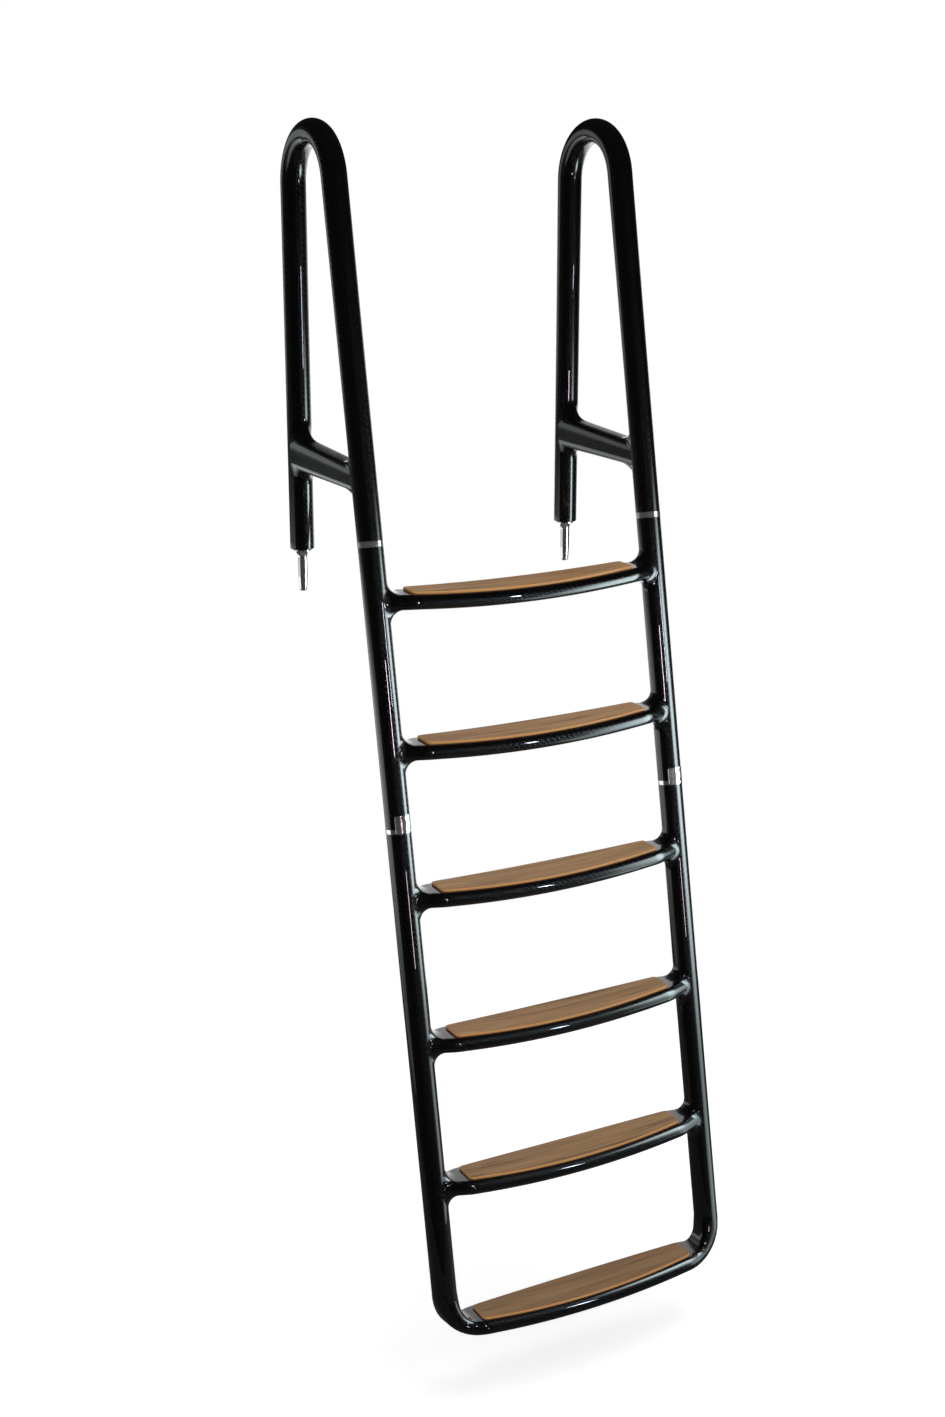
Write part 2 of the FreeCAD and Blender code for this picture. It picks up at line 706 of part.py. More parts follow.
def make_corner(name, side, level):
    body = new_body(name, stile_frame(side))
    sections = []
    for step in range(CORNER_STEPS + 1):
        share = step / CORNER_STEPS
        outer, inner = corner_section(share)
        fade = (1 - share) ** 2
        low = corner_point(outer, side, level, fade)
        high = corner_point(inner, side, level, fade)
        up = (high - low).normalize()
        deep = (Vector(0, 1, 0) - up * up.y).normalize()
        turn = Rotation(deep, up, deep.cross(up), "XYZ")
        height = (high - low).Length
        blend = share ** 1.5
        narrowing = 1 - (1 - share) ** 2.5
        front = size("rung_end_front") + (TUBE - size("rung_end_front")) * narrowing
        back = size("rung_end_back") + (TUBE - size("rung_end_back")) * narrowing
        full = min(height / 2, front, back) - ROUND_SPARE
        front_round = size("rung_front_round") + (full - size("rung_front_round")) * blend
        back_round = size("rung_back_round") + (full - size("rung_back_round")) * blend
        sketch = new_sketch(body, "%s_section_%d" % (name, step), "XY_Plane",
                            Placement((high + low) / 2, turn))
        add_path(sketch, rounded_box(-front, back, -height / 2, height / 2, front_round, back_round))
        sections.append(sketch)
    loft = body.newObject("PartDesign::AdditiveLoft", name + "_bend")
    loft.Profile = sections[0]
    loft.Sections = sections[1:]
    return body


def corner_point(point, side, level, fade):
    """A point of the bend in the stile's frame: it leans with the stile and ends level."""
    height = along(level) + point.z * (1 - (1 - COS) * fade)
    return Vector(-side * point.x, -point.z * SIN * fade, height)


# The whole ladder. The lengths of the stiles follow from the levels of joints and rungs.

ALONG = " / cos(Sizes.lean_angle * 1 deg)"
UPPER_STILE = ("(Sizes.upper_joint_level + Sizes.latch_joint_depth)" + ALONG
               + " - Sizes.ferrule_height - Sizes.collar_height")
LAST_RUNG_DEPTH = ("(Sizes.first_tread_depth + Sizes.tread_thickness + Sizes.rung_height / 2"
                   " + (Sizes.upper_rungs + Sizes.lower_rungs - 1) * Sizes.tread_pitch)")
LOWER_STILE = ("(" + LAST_RUNG_DEPTH + " - Sizes.latch_joint_depth)" + ALONG
               + " - Sizes.foot_ring_height - Sizes.corner_rise + Sizes.rung_height / 2")

UPPER_BORE = "Sizes.spigot_reach + Sizes.bore_spare - Sizes.collar_height"
LOWER_BORE = "Sizes.spigot_root + Sizes.bore_spare - Sizes.foot_ring_height"


def make_ladder():
    upper = range(1, int(size("upper_rungs")) + 1)
    last = int(size("upper_rungs") + size("lower_rungs"))
    lower = range(upper[-1] + 1, last)
    joint = along(size("upper_joint_level"))
    parting = along(-size("latch_joint_depth"))
    bottom = along(rung_level(last)) + size("corner_rise") - size("rung_height") / 2
    bodies = []
    for word, side in SIDES:
        bodies.append(make_handrail("handrail_" + word, side))
        bodies.append(make_deck_pin("deck_pin_" + word, side))
        bodies.append(make_band("rail_ferrule_" + word, side, joint, "Sizes.ferrule_height", False))
        bodies.append(make_band("frame_ferrule_" + word, side, joint - size("ferrule_height"),
                                "Sizes.ferrule_height", False))
        bodies.append(make_stile("upper_stile_" + word, side, parting + size("collar_height"),
                                 UPPER_STILE, upper, False, UPPER_BORE, latch_middle()))
        bodies.append(make_collar("latch_collar_" + word, side))
        bodies.append(make_button("latch_button_" + word, side))
        bodies.append(make_spigot("joint_spigot_" + word, side))
        bodies.append(make_band("foot_ring_" + word, side, parting - size("foot_ring_height"),
                                "Sizes.foot_ring_height", True))
        bodies.append(make_stile("lower_stile_" + word, side, bottom,
                                 LOWER_STILE, lower, True, LOWER_BORE))
        bodies.append(make_corner("bottom_corner_" + word, side, rung_level(last)))
    for number in range(1, last + 1):
        bodies.append(make_rung("rung_%d" % number, number))
        bodies.append(make_tread("tread_%d" % number, number))
    return bodies


def check_and_write(bodies):
    doc.recompute()
    for item in doc.Objects:
        if "Invalid" in item.State or "Error" in item.State:
            raise ValueError("failed to build: " + item.Label)
    for body in bodies:
        if body.Shape.isNull() or not body.Shape.isValid():
            raise ValueError("no valid solid: " + body.Label)
        if len(body.Shape.Solids) != 1:
            raise ValueError("not one solid: " + body.Label)
    os.makedirs("parts", exist_ok=True)
    for body in bodies:
        body.Shape.exportStep(os.path.join("parts", body.Label + ".step"))
    print("%d pieces" % len(bodies))


check_and_write(make_ladder())
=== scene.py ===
import json
import math

import bmesh
import bpy
import numpy as np
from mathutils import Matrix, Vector


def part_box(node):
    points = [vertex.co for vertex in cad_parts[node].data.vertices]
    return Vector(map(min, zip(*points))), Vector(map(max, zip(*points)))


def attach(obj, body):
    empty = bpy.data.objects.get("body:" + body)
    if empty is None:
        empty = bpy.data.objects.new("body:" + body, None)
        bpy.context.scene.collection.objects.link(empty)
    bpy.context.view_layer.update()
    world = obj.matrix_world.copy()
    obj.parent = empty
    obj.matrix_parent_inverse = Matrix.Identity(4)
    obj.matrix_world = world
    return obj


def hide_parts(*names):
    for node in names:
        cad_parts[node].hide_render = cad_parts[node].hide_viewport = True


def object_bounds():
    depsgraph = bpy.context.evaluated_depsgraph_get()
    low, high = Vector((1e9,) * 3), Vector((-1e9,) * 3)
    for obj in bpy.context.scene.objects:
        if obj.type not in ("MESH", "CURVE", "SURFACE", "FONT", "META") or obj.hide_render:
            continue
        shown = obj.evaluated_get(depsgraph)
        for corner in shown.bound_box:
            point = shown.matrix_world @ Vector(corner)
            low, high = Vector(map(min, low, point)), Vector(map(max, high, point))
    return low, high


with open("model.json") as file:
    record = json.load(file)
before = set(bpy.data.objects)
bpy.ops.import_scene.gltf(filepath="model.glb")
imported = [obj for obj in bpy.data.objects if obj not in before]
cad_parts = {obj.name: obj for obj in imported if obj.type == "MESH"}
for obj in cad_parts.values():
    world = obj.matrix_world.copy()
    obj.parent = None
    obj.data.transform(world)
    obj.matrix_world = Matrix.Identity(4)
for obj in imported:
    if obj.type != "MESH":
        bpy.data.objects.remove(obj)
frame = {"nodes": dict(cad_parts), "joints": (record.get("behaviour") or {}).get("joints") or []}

# A boarding ladder of black carbon tube with teak treads, in metres: +X runs along the rungs,
# +Y points inboard and +Z up. Every size below is the ladder's own, or is read from its frame.

for leftover in ("Cube", "Light", "Camera"):
    if leftover in bpy.data.objects:
        bpy.data.objects.remove(bpy.data.objects[leftover])
cad_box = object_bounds()

# Camera.
# It stands outboard of the ladder, to its left and at the height of the handrails, and looks
# down on the treads. The picture is 1417 pixels tall, on a sensor 36 mm long.

camera_place = (-1.4669, -2.8900, 0.6764)
camera_yaw = math.radians(27.9411)
camera_pitch = math.radians(16.6946)
camera_lens = 49.245
camera = bpy.data.objects.new("camera", bpy.data.cameras.new("camera"))
camera.location = camera_place
camera.rotation_euler = (math.pi / 2 - camera_pitch, 0, -camera_yaw)
camera.data.lens = camera_lens
bpy.context.scene.collection.objects.link(camera)
bpy.context.scene.camera = camera
bpy.context.scene.view_settings.view_transform = "Standard"

# Studio.
# A pale floor under the ladder and a world that is white where the camera sees it. Lacquer and
# steel reflect a nearly dark room with soft boxes, which draw the long lines on the tubes.

white = (1, 1, 1, 1)
black = (0, 0, 0, 1)
mirrored_room = 0.012
matt_light = 0.5


class Wire:
    """A socket of a shader tree. Arithmetic on wires adds the Math nodes for it."""

    def __init__(self, tree, socket=None):
        self.tree = tree
        self.socket = socket

    def node(self, kind, settings=None, inputs=None, output=0):
        """Adds a node: first its settings, then the values or links of its sockets."""
        made = self.tree.nodes.new(kind)
        for name, value in (settings or {}).items():
            setattr(made, name, value)
        for name, value in (inputs or {}).items():
            if isinstance(value, Wire):
                self.tree.links.new(value.socket, made.inputs[name])
            else:
                made.inputs[name].default_value = value
        return Wire(self.tree, made.outputs[output])

    def out(self, output):
        """Another output of the node that this wire comes from."""
        return Wire(self.tree, self.socket.node.outputs[output])

    def into(self, node, name):
        """Links the wire to an input of a node."""
        self.tree.links.new(self.socket, node.inputs[name])

    def math(self, operation, *others):
        """A Math node of this wire and the other values."""
        return self.node("ShaderNodeMath", {"operation": operation},
                         dict(enumerate((self, *others))))

    def mix(self, low, high):
        """Colour between two colours, with this wire as the share of the second.

        The colours have sockets 6 and 7 of a Mix node, and its colour comes out of output 2."""
        return self.node("ShaderNodeMix", {"data_type": "RGBA"}, {0: self, 6: low, 7: high}, 2)

    def stretch(self, start, end, first=0, last=1, curve="LINEAR"):
        """This wire moved from the range start to end into the range first to last."""
        return self.node("ShaderNodeMapRange", {"interpolation_type": curve},
                         {"Value": self, "From Min": start, "From Max": end,
                          "To Min": first, "To Max": last})

    def __add__(self, other):
        return self.math("ADD", other)

    def __mul__(self, other):
        return self.math("MULTIPLY", other)

    def __sub__(self, other):
        return self.math("SUBTRACT", other)

    def __rsub__(self, other):
        return (self * -1) + other

    __radd__ = __add__
    __rmul__ = __mul__


world = bpy.data.worlds.new("studio")
world.use_nodes = True
world.cycles.sampling_method = "NONE"
bpy.context.scene.world = world
sky = world.node_tree
sky_shader = sky.nodes["Background"]
camera_ray = Wire(sky).node("ShaderNodeLightPath", output="Is Camera Ray")
refracted_ray = camera_ray.out("Is Transmission Ray")
mirrored_ray = camera_ray.out("Is Glossy Ray").math("MAXIMUM", refracted_ray)
matt_ray = 1 - camera_ray.math("MAXIMUM", mirrored_ray)
strength = camera_ray + mirrored_ray * mirrored_room + matt_ray * matt_light
strength.into(sky_shader, "Strength")
sky_shader.inputs["Color"].default_value = white

floor_drop = 0.12
floor_reach = 1.3
floor_middle = (0, -0.45, cad_box[0].z - floor_drop)
floor_tone = (0.8, 0.8, 0.8, 1)
mirrored_floor_tone = (0.12, 0.12, 0.12, 1)
floor_glow = 0.6
bpy.ops.mesh.primitive_circle_add(vertices=96, radius=floor_reach, fill_type="NGON",
                                  location=floor_middle)
floor = bpy.context.object
floor.name = "floor"
paint = bpy.data.materials.new("pale_floor")
paint.use_nodes = True
floor.data.materials.append(paint)
floor_tree = paint.node_tree
floor_shader = floor_tree.nodes["Principled BSDF"]
floor_ray = Wire(floor_tree).node("ShaderNodeLightPath", output="Is Camera Ray")
seen_tone = floor_ray.out("Is Glossy Ray").mix(floor_tone, mirrored_floor_tone)
seen_tone.into(floor_shader, "Base Color")
floor_shader.inputs["Roughness"].default_value = 0.9
floor_shader.inputs["Specular IOR Level"].default_value = 0
floor_ray.mix(black, white).into(floor_shader, "Emission Color")
floor_shader.inputs["Emission Strength"].default_value = floor_glow


def lamp(name, place, target, wide, tall, radiance):
    """Area lamp for the matt colours, set by the brightness of its face."""
    data = bpy.data.lights.new(name, "AREA")
    data.shape = "RECTANGLE"
    data.size = wide
    data.size_y = tall
    data.energy = radiance * math.pi * wide * tall
    made = bpy.data.objects.new(name, data)
    made.location = place
    aim = Vector(target) - Vector(place)
    made.rotation_euler = aim.to_track_quat("-Z", "Y").to_euler()
    made.visible_camera = False
    made.visible_glossy = False
    bpy.context.scene.collection.objects.link(made)


def soft_box(name, place, target, wide, tall, radiance, colour=(1, 1, 1), fade=(0, 0), top=0,
             low=(0.0, 1.0)):
    """Upright panel that only reflections see, with soft edges.

    It fades out over its two side measures and its top measure, in metres. Low is a height over
    its foot, under which it falls to the share given second."""
    corners = [(-wide / 2, 0, -tall / 2), (wide / 2, 0, -tall / 2),
               (wide / 2, 0, tall / 2), (-wide / 2, 0, tall / 2)]
    mesh = bpy.data.meshes.new(name)
    mesh.from_pydata(corners, [], [(0, 1, 2, 3)])
    made = bpy.data.objects.new(name, mesh)
    made.location = place
    aim = Vector(target) - Vector(place)
    made.rotation_euler = (0, 0, math.atan2(aim.y, aim.x) + math.pi / 2)
    skin = bpy.data.materials.new(name)
    skin.use_nodes = True
    mesh.materials.append(skin)
    shader = skin.node_tree.nodes["Principled BSDF"]
    spot = Wire(skin.node_tree).node("ShaderNodeTexCoord", output="Object")
    across = spot.node("ShaderNodeSeparateXYZ", None, {0: spot}, "X")
    height = across.out("Z") + tall / 2
    hair = 1e-4
    low_start = 0.45 * low[0]
    share = (across + wide / 2).stretch(0, fade[0] + hair, 0, 1, "SMOOTHSTEP")
    share *= across.stretch(wide / 2 - fade[1] - hair, wide / 2, 1, 0, "SMOOTHSTEP")
    share *= height.stretch(tall - top - hair, tall, 1, 0, "SMOOTHSTEP")
    share *= height.stretch(low_start, low[0] + hair, low[1], 1, "SMOOTHSTEP")
    share.mix(black, (*colour, 1)).into(shader, "Emission Color")
    shader.inputs["Emission Strength"].default_value = radiance
    shader.inputs["Base Color"].default_value = black
    shader.inputs["Specular IOR Level"].default_value = 0
    for kind in ("camera", "diffuse", "transmission", "shadow", "volume_scatter"):
        setattr(made, "visible_" + kind, False)
    bpy.context.scene.collection.objects.link(made)


lamp("overhead", place=(0.4, -1.2, 2.6), target=(0, -0.35, -0.3), wide=1.8, tall=1.8,
     radiance=3.4)
# The broad strip on the right side of every tube.
soft_box("right_box", place=(0.72, -0.975, -0.6), target=(0, -0.975, -0.6), wide=0.95, tall=1.8,
         radiance=14, colour=(0.8, 0.96, 1), fade=(0.22, 0.6), top=0.4, low=(1.15, 0.2))
# The pale outlines of the tubes, and the sheen on the upper faces of the rungs.
soft_box("rear_wall", place=(0.9, 1.1, -0.35), target=(0, -0.35, -0.35), wide=2.6, tall=2.1,
         radiance=1.3, fade=(0.5, 0.5), top=0.5)
soft_box("left_wall", place=(-2.23, 1.66, -1.1), target=(0, -0.35, -1.1), wide=4.7, tall=1.8,
         radiance=1.5, colour=(0.93, 0.99, 1), fade=(0.5, 0.5), top=0.8, low=(0.7, 0.35))
soft_box("upper_wall", place=(-1.35, 2.4, 0.3), target=(0, -0.35, 0.3), wide=1.6, tall=1.7,
         radiance=0.7, colour=(0.93, 0.99, 1), fade=(0.4, 0.4), top=0.4, low=(0.6, 0))
# The short glints on the fronts of the rungs.
soft_box("glint_lamp", place=(1.085, -2.48, 0.13), target=(0, -0.35, 0.13), wide=0.05, tall=0.3,
         radiance=110, colour=(0.75, 0.85, 1))
# The thin pink lines on the fronts of the tubes.
soft_box("tube_lamp", place=(-0.1, -1.77, -0.045), target=(0, -0.33, -0.045), wide=0.05,
         tall=0.22, radiance=90, colour=(1, 0.8, 0.94))
soft_box("far_lamp", place=(0.45, -9, -0.68), target=(0, 0, -0.68), wide=0.3, tall=0.58,
         radiance=45, colour=(1, 0.8, 0.94))

# Stiles.
# Four straight tubes of carbon cloth, wound and cured round a mandrel, then lacquered. A twill
# of 2.4 mm tows lies under a clear gloss coat. They meet the steel rings face to face.

tow = 0.0024
# The pale cloth colour is reached where the painted sheen of the tows and the cloth's own uneven
# tone are strongest.
dark_cloth = (0.0003, 0.0003, 0.0003, 1)
sheen_and_pale_cloth = (0.004, 0.004, 0.0044, 1)
stile_slide = next(joint for joint in frame["joints"] if joint["name"] == "lower_section_slide")
stile_up = -np.array(stile_slide["axis"])
lean = math.atan2(stile_up[1], stile_up[2])
inboard = np.array([0, stile_up[2], -stile_up[1]])
handrail_low, handrail_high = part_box("handrail_right")
tube_radius = (handrail_high.x - handrail_low.x) / 2
half_spacing = (handrail_high.x + handrail_low.x) / 2
ferrule_low, ferrule_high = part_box("frame_ferrule_right")
stile_point = np.array((ferrule_low + ferrule_high) / 2)
sides = {"left": -1, "right": 1}
round_steps = 128
tube_ring_step = 0.01
crease = math.radians(35)
weld = 1e-6


def carbon_material():
    """Twill of two over two under a clear coat. The cloth map counts tows both ways."""
    made = bpy.data.materials.new("carbon")
    made.use_nodes = True
    tree = made.node_tree
    shader = tree.nodes["Principled BSDF"]
    cloth = Wire(tree).node("ShaderNodeUVMap", {"uv_map": "cloth"})
    across = cloth.node("ShaderNodeSeparateXYZ", None, {0: cloth})
    along = across.out("Y")
    diagonal = across.math("FLOOR") + along.math("FLOOR")
    warp_on_top = diagonal.math("FLOORED_MODULO", 4).math("LESS_THAN", 2)
    warp = (across.math("FRACT") * math.pi).math("SINE")
    weft = (along.math("FRACT") * math.pi).math("SINE")
    height = warp_on_top * warp + (1 - warp_on_top) * weft
    place = cloth.node("ShaderNodeTexCoord", output="Object")
    cloud = place.node("ShaderNodeTexNoise", None, {"Vector": place, "Scale": 6.0, "Detail": 2.0})
    # Painted sheen: tows with the warp on top and the crowns of the tows are painted lighter,
    # standing in for the fibres' sheen; the noise adds the cloth's own uneven tone.
    sheen_and_tone = warp_on_top * 0.35 + height * 0.35 + cloud * 0.3
    sheen_and_tone.mix(dark_cloth, sheen_and_pale_cloth).into(shader, "Base Color")
    (height * -0.12 + 0.32).into(shader, "Roughness")
    bump = height.node("ShaderNodeBump", None,
                       {"Strength": 0.5, "Distance": 0.0004, "Height": height})
    bump.into(shader, "Normal")
    shader.inputs["Coat Weight"].default_value = 1
    shader.inputs["Coat Roughness"].default_value = 0.01
    shader.inputs["Specular IOR Level"].default_value = 0.1
    return made


carbon = carbon_material()


def ring_frames(centres, side_way, up_way, radius):
    """Rings of a round tube.

    A point is its ring's centre plus the radius times the cosine of the angle along one way and
    its sine along the other. The radius and both ways may change from ring to ring."""
    angle = np.linspace(0, 2 * np.pi, round_steps, endpoint=False)
    reach = np.broadcast_to(np.asarray(radius, float), len(centres))[:, None, None]
    first = np.broadcast_to(side_way, centres.shape)[:, None, :]
    second = np.broadcast_to(up_way, centres.shape)[:, None, :]
    turn = first * np.cos(angle)[None, :, None] + second * np.sin(angle)[None, :, None]
    return centres[:, None, :] + reach * turn


def moulding(name, shells, material, body, slot, *nodes):
    """One piece from closed shells, each an array of rings: ring, point round it, xyz.

    Neighbouring rings are joined by quads and the end rings by fans to their middles, or left
    as they are where their two halves meet. The cloth map counts tows: round a ring by its
    share of the girth, along by the mean step from ring to ring. Edges over the crease angle
    stay sharp, and a shell that is inside out is turned."""
    corners, faces, maps = [], [], []
    base = 0
    for rings in shells:
        count, steps, _ = rings.shape
        girths = np.linalg.norm(np.roll(rings, -1, 1) - rings, axis=2)
        share = np.cumsum(np.pad(girths, ((0, 0), (1, 0))), 1) / girths.sum(1)[:, None]
        tows = max(4, 4 * round(np.median(girths.sum(1)) / tow / 4))
        walked = np.linalg.norm(np.diff(rings, axis=0), axis=2).mean(1)
        along = np.concatenate(([0], np.cumsum(walked))) / tow
        cloth = np.stack((share * tows, np.broadcast_to(along[:, None], share.shape)), 2)
        ring, step = np.meshgrid(np.arange(count - 1), np.arange(steps), indexing="ij")
        after = (step + 1) % steps
        quads = np.stack((ring * steps + step, ring * steps + after,
                          (ring + 1) * steps + after, (ring + 1) * steps + step), 2)
        quad_maps = np.stack((cloth[:-1, :-1], cloth[:-1, 1:], cloth[1:, 1:], cloth[1:, :-1]), 2)
        around = np.arange(steps)
        ahead = (around + 1) % steps
        poles = count * steps + np.array([0, 1])
        first_fan = np.stack((ahead, around, np.full(steps, poles[0])), 1)
        last = (count - 1) * steps
        last_fan = np.stack((last + around, last + ahead, np.full(steps, poles[1])), 1)
        points = np.concatenate((rings.reshape(-1, 3), rings[[0, -1]].mean(1)))
        fan_maps = np.stack((cloth[[0, -1], 1:], cloth[[0, -1], :-1], cloth[[0, -1], 1:]), 2)
        groups = [(quads.reshape(-1, 4), quad_maps.reshape(-1, 4, 2))]
        if not np.allclose(rings[-1], rings[-1, ::-1]):
            groups += [(first_fan, fan_maps[0]), (last_fan, fan_maps[1][:, [1, 0, 2]])]
        halves = np.concatenate([group[:, [0, k - 1, k]] for group, _ in groups
                                 for k in range(2, group.shape[1])])
        a, b, c = points[halves[:, 0]], points[halves[:, 1]], points[halves[:, 2]]
        inside_out = np.einsum("ij,ij->", a, np.cross(b, c)) < 0
        order = -1 if inside_out else 1
        for group, group_map in groups:
            faces.append((group + base)[:, ::order])
            maps.append(group_map[:, ::order].reshape(-1, 2))
        corners.append(points)
        base += len(points)
    mesh = bpy.data.meshes.new(name)
    mesh.from_pydata(np.concatenate(corners).tolist(), [],
                     [face for group in faces for face in group.tolist()])
    mesh.uv_layers.new(name="cloth").data.foreach_set("uv", np.concatenate(maps).ravel())
    whole = bmesh.new()
    whole.from_mesh(mesh)
    bmesh.ops.remove_doubles(whole, verts=whole.verts, dist=weld)
    loose = [vert for vert in whole.verts if not vert.link_faces]
    bmesh.ops.delete(whole, geom=loose, context="VERTS")
    whole.to_mesh(mesh)
    whole.free()
    mesh.polygons.foreach_set("use_smooth", np.ones(len(mesh.polygons), bool))
    mesh.set_sharp_from_angle(angle=crease)
    mesh.materials.append(material)
    piece = bpy.data.objects.new(name, mesh)
    bpy.context.scene.collection.objects.link(piece)
    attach(piece, body)
    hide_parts(*nodes)


def stile_at(side, level):
    """Where the axis of a stile passes a level above the deck."""
    rise = (level - stile_point[2]) / stile_up[2]
    point = stile_point + rise * stile_up
    return np.array([side * half_spacing, point[1], point[2]])


def ring_level(node, end):
    """Level on the stile axis of the lower (0) or upper (1) face of a steel ring."""
    low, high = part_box(node)
    half_tilt = (high.x - low.x) / 2 * abs(stile_up[1])
    return low.z + half_tilt if end == 0 else high.z - half_tilt


corner_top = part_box("bottom_corner_right")[1].z - tube_radius * stile_up[1]
stile_ends = {"upper": (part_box("upper_stile_right")[0].z + tube_radius * stile_up[1],
                        ring_level("frame_ferrule_right", 0)),
              "lower": (corner_top, ring_level("foot_ring_right", 0))}
for section, (low_end, high_end) in stile_ends.items():
    for word, side in sides.items():
        ends = np.array([stile_at(side, low_end), stile_at(side, high_end)])
        tube_rings = int(np.linalg.norm(ends[1] - ends[0]) / tube_ring_step)
        share = np.linspace(0, 1, tube_rings)[:, None]
        rings = ring_frames(ends[0] * (1 - share) + ends[1] * share, -inboard,
                            np.array([-side, 0, 0]), tube_radius)
        node = "%s_stile_%s" % (section, word)
        moulding(node + "_tube", [rings], carbon, section + "_section", "carbon", node)

# Rungs.
# Each is moulded in one with the stiles: a bar with a full round front that bows outboard, hangs
# a little in the middle and tapers into the tubes through round fillets.

rung_height = 0.0238
rung_front_round = 0.0118
rung_back_round = 0.006
rung_crown = 0.0448
rung_back = 0.031
rung_end_front = 0.033
rung_end_back = 0.0239
rung_root = 0.016
rung_turn = 0.069
rung_sag = 0.0074
rung_levelling = 0.400
rung_blend = 0.020
even_rings = 36
close_rings = 16
close_from = 0.88
straight_rings = 3
fillet_rings = 18
sinking_steps = ((0.0015, 0.00003), (0.0025, 0.0004), (0.003, 0.003))
rung_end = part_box("rung_1")[1].x
end_reach = half_spacing - rung_end


def section_columns():
    """Shares round a rung's section, from the middle of its front over the top.

    Three values a column: how far from the front rail to the back one, how far up the flat
    side, and the angle in the rounded edge. A leg gives the start and end of each, and its
    number of columns."""
    quarter = np.pi / 2
    legs = [(0, 0, 0, 1, 0, 0, 1), (0, 0, 1, 1, 0, quarter, 14), (0, 1, 1, 1, quarter, quarter, 14),
            (1, 1, 1, 1, quarter, 0, 10), (1, 1, 1, -1, 0, 0, 6), (1, 1, -1, -1, 0, -quarter, 10),
            (1, 0, -1, -1, -quarter, -quarter, 14), (0, 0, -1, -1, -quarter, 0, 14),
            (0, 0, -1, 0, 0, 0, 1)]
    parts = [[np.linspace(leg[k], leg[k + 1], leg[6], endpoint=False) for k in (0, 2, 4)]
             for leg in legs]
    return [np.concatenate(column) for column in zip(*parts)]


rail_share, flat_share, edge_angle = section_columns()


def section_rings(front, back, deep, up, height, front_round, back_round):
    """Rings of a bar with rounded long edges, and the ways out of each ring in its plane.

    A front rail and a back rail carry the rounded edges. A point lies between the rails, moved
    in by the edge radius and out again along the edge angle."""
    front_round, back_round, height = (np.asarray(value)[..., None] * np.ones((len(front), 1))
                                       for value in (front_round, back_round, height))
    radius = front_round * (1 - rail_share) + back_round * rail_share
    inner_front = front[:, None] + front_round[..., None] * deep[:, None]
    inner_back = back[:, None] - back_round[..., None] * deep[:, None]
    share = rail_share[None, :, None]
    base = inner_front * (1 - share) + inner_back * share
    side = np.where(rail_share < 0.5, -1, 1) * np.cos(edge_angle)
    way = side[None, :, None] * deep[:, None] + np.sin(edge_angle)[None, :, None] * up[:, None]
    lift = flat_share * (height / 2 - radius)
    return base + lift[..., None] * up[:, None] + radius[..., None] * way, way


def hang(x):
    """Height of the line of a rung over its ends: a hanging arc, then one that levels out."""
    x = np.abs(x)
    turn = 2 * math.atan2(rung_sag, rung_end)
    radius = rung_end / math.sin(turn) - rung_levelling
    inside = x < radius * math.sin(turn)
    low = radius - np.sqrt(radius ** 2 - np.where(inside, x, 0) ** 2) - rung_sag
    rest = np.clip(rung_end - x, 0, rung_end - radius * math.sin(turn))
    return np.where(inside, low, np.sqrt(rung_levelling ** 2 - rest ** 2) - rung_levelling)


def bowed_edge(x, crown, end_depth):
    """Depth of a long edge from the stile axis: a bow, then a turn to the end piece's slope."""
    slope = math.atan2(end_depth - rung_root, end_reach)
    run = rung_end - rung_turn * math.sin(slope)
    fall = crown - end_depth - rung_turn * (1 - math.cos(slope))
    angle = 2 * math.atan2(fall, run)
    bow = run / math.sin(angle) + rung_turn
    joint = bow * math.sin(angle)
    turned = np.clip((x - joint) / rung_turn + math.sin(angle), -1, 1)
    return np.where(x < joint, crown - bow + np.sqrt(bow ** 2 - x ** 2),
                    crown - bow * (1 - math.cos(angle))
                    - rung_turn * (math.cos(angle) - np.sqrt(1 - turned ** 2)))


def rung_half(level):
    """Rings of half a rung, from its middle to its end plane, and the ways out of the last.

    They stand closer together near the end, where both long edges turn."""
    x = rung_end * np.concatenate((np.linspace(0, close_from, even_rings, endpoint=False),
                                   np.linspace(close_from, 1, close_rings)))
    centre = np.array([0, stile_at(1, level)[1], level])
    line = centre + np.stack((x, 0 * x, hang(x)), 1)
    deep = np.tile((0.0, 1.0, 0.0), (len(x), 1))
    up = np.tile((0.0, 0.0, 1.0), (len(x), 1))
    front = line - bowed_edge(x, rung_crown, rung_end_front)[:, None] * deep
    back = line + bowed_edge(x, rung_back, rung_end_back)[:, None] * deep
    rings, ways = section_rings(front, back, deep, up, rung_height, rung_front_round,
                                rung_back_round)
    return rings, ways[-1]


